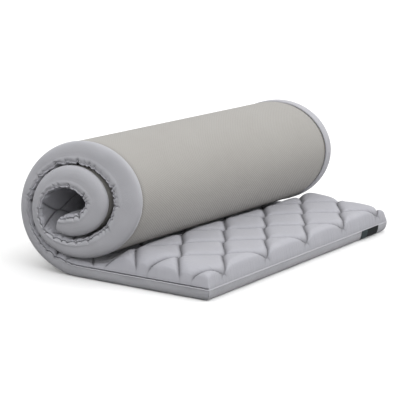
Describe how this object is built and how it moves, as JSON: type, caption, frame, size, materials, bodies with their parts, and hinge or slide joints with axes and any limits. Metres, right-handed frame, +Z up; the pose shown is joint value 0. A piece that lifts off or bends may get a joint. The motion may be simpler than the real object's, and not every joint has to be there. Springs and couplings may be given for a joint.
{
  "type": "quilted roll-up mattress",
  "caption": "Thin quilted cot mattress with a foam core, mesh underside and plain side bands, its tail lying flat and the rest rolled up on it so that it can be unrolled.",
  "frame": {"origin": "under the middle of the object, on the surface it rests on", "axes": "+X towards the free tail end, +Y along the roll, +Z up"},
  "size_m": [0.3218, 0.618, 0.1997],
  "materials": {
    "quilted_fabric": "light lilac-grey polyester, quilted, matt",
    "band_fabric": "smooth mid-grey polyester, matt",
    "spacer_mesh": "warm grey knitted spacer mesh, matt",
    "core_foam": "cream polyurethane foam, open cells",
    "wadding": "white polyester fibre wadding",
    "label_tape": "black woven tape, blank"
  },
  "bodies": {
    "tail": {"mesh_base_tail": "spacer_mesh", "mesh_base_roll": "spacer_mesh", "foam_core_tail": "core_foam", "quilt_wadding_tail": "wadding", "quilt_wadding_roll": "wadding", "quilted_top_tail": "quilted_fabric", "quilted_top_roll": "quilted_fabric", "side_band_near_tail": "band_fabric", "side_band_near_roll": "band_fabric", "side_band_far_tail": "band_fabric", "side_band_far_roll": "band_fabric", "end_band_tail": "band_fabric", "woven_label": "label_tape"},
    "slice_01": {"foam_core_01": "core_foam"},
    "slice_02": {"foam_core_02": "core_foam"},
    "slice_03": {"foam_core_03": "core_foam"},
    "slice_04": {"foam_core_04": "core_foam"},
    "slice_05": {"foam_core_05": "core_foam"},
    "slice_06": {"foam_core_06": "core_foam"},
    "slice_07": {"foam_core_07": "core_foam"},
    "slice_08": {"foam_core_08": "core_foam"},
    "slice_09": {"foam_core_09": "core_foam"},
    "slice_10": {"foam_core_10": "core_foam"},
    "slice_11": {"foam_core_11": "core_foam"},
    "slice_12": {"foam_core_12": "core_foam"},
    "slice_13": {"foam_core_13": "core_foam"},
    "slice_14": {"foam_core_14": "core_foam"},
    "slice_15": {"foam_core_15": "core_foam"},
    "slice_16": {"foam_core_16": "core_foam"},
    "slice_17": {"foam_core_17": "core_foam"},
    "slice_18": {"foam_core_18": "core_foam"},
    "slice_19": {"foam_core_19": "core_foam"},
    "slice_20": {"foam_core_20": "core_foam"},
    "slice_21": {"foam_core_21": "core_foam"},
    "slice_22": {"foam_core_22": "core_foam"},
    "slice_23": {"foam_core_23": "core_foam"},
    "slice_24": {"foam_core_24": "core_foam", "end_band_head": "band_fabric"}
  },
  "joints": [
    {"name": "unroll_01", "type": "hinge", "parent": "tail", "child": "slice_01", "pos_m": [-0.07458, 0.00953, 0], "axis": [0.018, 0.9998, 0], "range_deg": [-24.28, 0], "deforming": ["mesh_base_roll", "quilt_wadding_roll", "quilted_top_roll", "side_band_near_roll", "side_band_far_roll"]},
    {"name": "unroll_02", "type": "hinge", "parent": "slice_01", "child": "slice_02", "pos_m": [-0.12112, 0.01037, 0.021], "axis": [0.018, 0.9998, 0], "range_deg": [-24.84, 0]},
    {"name": "unroll_03", "type": "hinge", "parent": "slice_02", "child": "slice_03", "pos_m": [-0.14761, 0.01084, 0.05161], "axis": [0.018, 0.9998, 0], "range_deg": [-25.39, 0]},
    {"name": "unroll_04", "type": "hinge", "parent": "slice_03", "child": "slice_04", "pos_m": [-0.15796, 0.01103, 0.08892], "axis": [0.018, 0.9998, 0], "range_deg": [-26.94, 1]},
    {"name": "unroll_05", "type": "hinge", "parent": "slice_04", "child": "slice_05", "pos_m": [-0.1498, 0.01088, 0.13315], "axis": [0.018, 0.9998, 0], "range_deg": [-27.49, 1]},
    {"name": "unroll_06", "type": "hinge", "parent": "slice_05", "child": "slice_06", "pos_m": [-0.11806, 0.01031, 0.17536], "axis": [0.018, 0.9998, 0], "range_deg": [-28.05, 1]},
    {"name": "unroll_07", "type": "hinge", "parent": "slice_06", "child": "slice_07", "pos_m": [-0.06664, 0.00939, 0.20045], "axis": [0.018, 0.9998, 0], "range_deg": [-28.6, 1]},
    {"name": "unroll_08", "type": "hinge", "parent": "slice_07", "child": "slice_08", "pos_m": [-0.01056, 0.00838, 0.19889], "axis": [0.018, 0.9998, 0], "range_deg": [-29.15, 1]},
    {"name": "unroll_09", "type": "hinge", "parent": "slice_08", "child": "slice_09", "pos_m": [0.03162, 0.00762, 0.17479], "axis": [0.018, 0.9998, 0], "range_deg": [-29.7, 1]},
    {"name": "unroll_10", "type": "hinge", "parent": "slice_09", "child": "slice_10", "pos_m": [0.05164, 0.00726, 0.14218], "axis": [0.018, 0.9998, 0], "range_deg": [-30.26, 1]},
    {"name": "unroll_11", "type": "hinge", "parent": "slice_10", "child": "slice_11", "pos_m": [0.05307, 0.00723, 0.10647], "axis": [0.018, 0.9998, 0], "range_deg": [-30.81, 1]},
    {"name": "unroll_12", "type": "hinge", "parent": "slice_11", "child": "slice_12", "pos_m": [0.03135, 0.00762, 0.06477], "axis": [0.018, 0.9998, 0], "range_deg": [-31.36, 1]},
    {"name": "unroll_13", "type": "hinge", "parent": "slice_12", "child": "slice_13", "pos_m": [-0.01966, 0.00854, 0.03274], "axis": [0.018, 0.9998, 0], "range_deg": [-31.92, 1]},
    {"name": "unroll_14", "type": "hinge", "parent": "slice_13", "child": "slice_14", "pos_m": [-0.07743, 0.00958, 0.03152], "axis": [0.018, 0.9998, 0], "range_deg": [-32.47, 1]},
    {"name": "unroll_15", "type": "hinge", "parent": "slice_14", "child": "slice_15", "pos_m": [-0.11407, 0.01024, 0.05291], "axis": [0.018, 0.9998, 0], "range_deg": [-33.02, 1]},
    {"name": "unroll_16", "type": "hinge", "parent": "slice_15", "child": "slice_16", "pos_m": [-0.12965, 0.01052, 0.08257], "axis": [0.018, 0.9998, 0], "range_deg": [-33.57, 1]},
    {"name": "unroll_17", "type": "hinge", "parent": "slice_16", "child": "slice_17", "pos_m": [-0.12649, 0.01046, 0.11965], "axis": [0.018, 0.9998, 0], "range_deg": [-34.13, 1]},
    {"name": "unroll_18", "type": "hinge", "parent": "slice_17", "child": "slice_18", "pos_m": [-0.10021, 0.00999, 0.1533], "axis": [0.018, 0.9998, 0], "range_deg": [-34.68, 1]},
    {"name": "unroll_19", "type": "hinge", "parent": "slice_18", "child": "slice_19", "pos_m": [-0.05858, 0.00924, 0.1671], "axis": [0.018, 0.9998, 0], "range_deg": [-35.23, 1]},
    {"name": "unroll_20", "type": "hinge", "parent": "slice_19", "child": "slice_20", "pos_m": [-0.01954, 0.00854, 0.15598], "axis": [0.018, 0.9998, 0], "range_deg": [-35.78, 1]},
    {"name": "unroll_21", "type": "hinge", "parent": "slice_20", "child": "slice_21", "pos_m": [0.00024, 0.00818, 0.13182], "axis": [0.018, 0.9998, 0], "range_deg": [-36.34, 1]},
    {"name": "unroll_22", "type": "hinge", "parent": "slice_21", "child": "slice_22", "pos_m": [0.002, 0.00815, 0.10648], "axis": [0.018, 0.9998, 0], "range_deg": [-36.89, 1]},
    {"name": "unroll_23", "type": "hinge", "parent": "slice_22", "child": "slice_23", "pos_m": [-0.01642, 0.00848, 0.0769], "axis": [0.018, 0.9998, 0], "range_deg": [-37.44, 1]},
    {"name": "unroll_24", "type": "hinge", "parent": "slice_23", "child": "slice_24", "pos_m": [-0.05675, 0.00921, 0.06089], "axis": [0.018, 0.9998, 0], "range_deg": [-38, 1]}
  ],
  "couplings": [
    {"joint": "unroll_04", "follows": "unroll_01", "ratio": 1.0683},
    {"joint": "unroll_05", "follows": "unroll_02", "ratio": 1.0668},
    {"joint": "unroll_06", "follows": "unroll_03", "ratio": 1.0653},
    {"joint": "unroll_07", "follows": "unroll_01", "ratio": 1.1366},
    {"joint": "unroll_08", "follows": "unroll_02", "ratio": 1.1335},
    {"joint": "unroll_09", "follows": "unroll_03", "ratio": 1.1306},
    {"joint": "unroll_10", "follows": "unroll_01", "ratio": 1.2049},
    {"joint": "unroll_11", "follows": "unroll_02", "ratio": 1.2003},
    {"joint": "unroll_12", "follows": "unroll_03", "ratio": 1.1959},
    {"joint": "unroll_13", "follows": "unroll_01", "ratio": 1.2732},
    {"joint": "unroll_14", "follows": "unroll_02", "ratio": 1.2671},
    {"joint": "unroll_15", "follows": "unroll_03", "ratio": 1.2613},
    {"joint": "unroll_16", "follows": "unroll_01", "ratio": 1.3414},
    {"joint": "unroll_17", "follows": "unroll_02", "ratio": 1.3338},
    {"joint": "unroll_18", "follows": "unroll_03", "ratio": 1.3266},
    {"joint": "unroll_19", "follows": "unroll_01", "ratio": 1.4097},
    {"joint": "unroll_20", "follows": "unroll_02", "ratio": 1.4006},
    {"joint": "unroll_21", "follows": "unroll_03", "ratio": 1.3919},
    {"joint": "unroll_22", "follows": "unroll_01", "ratio": 1.478},
    {"joint": "unroll_23", "follows": "unroll_02", "ratio": 1.4674},
    {"joint": "unroll_24", "follows": "unroll_03", "ratio": 1.4572}
  ]
}
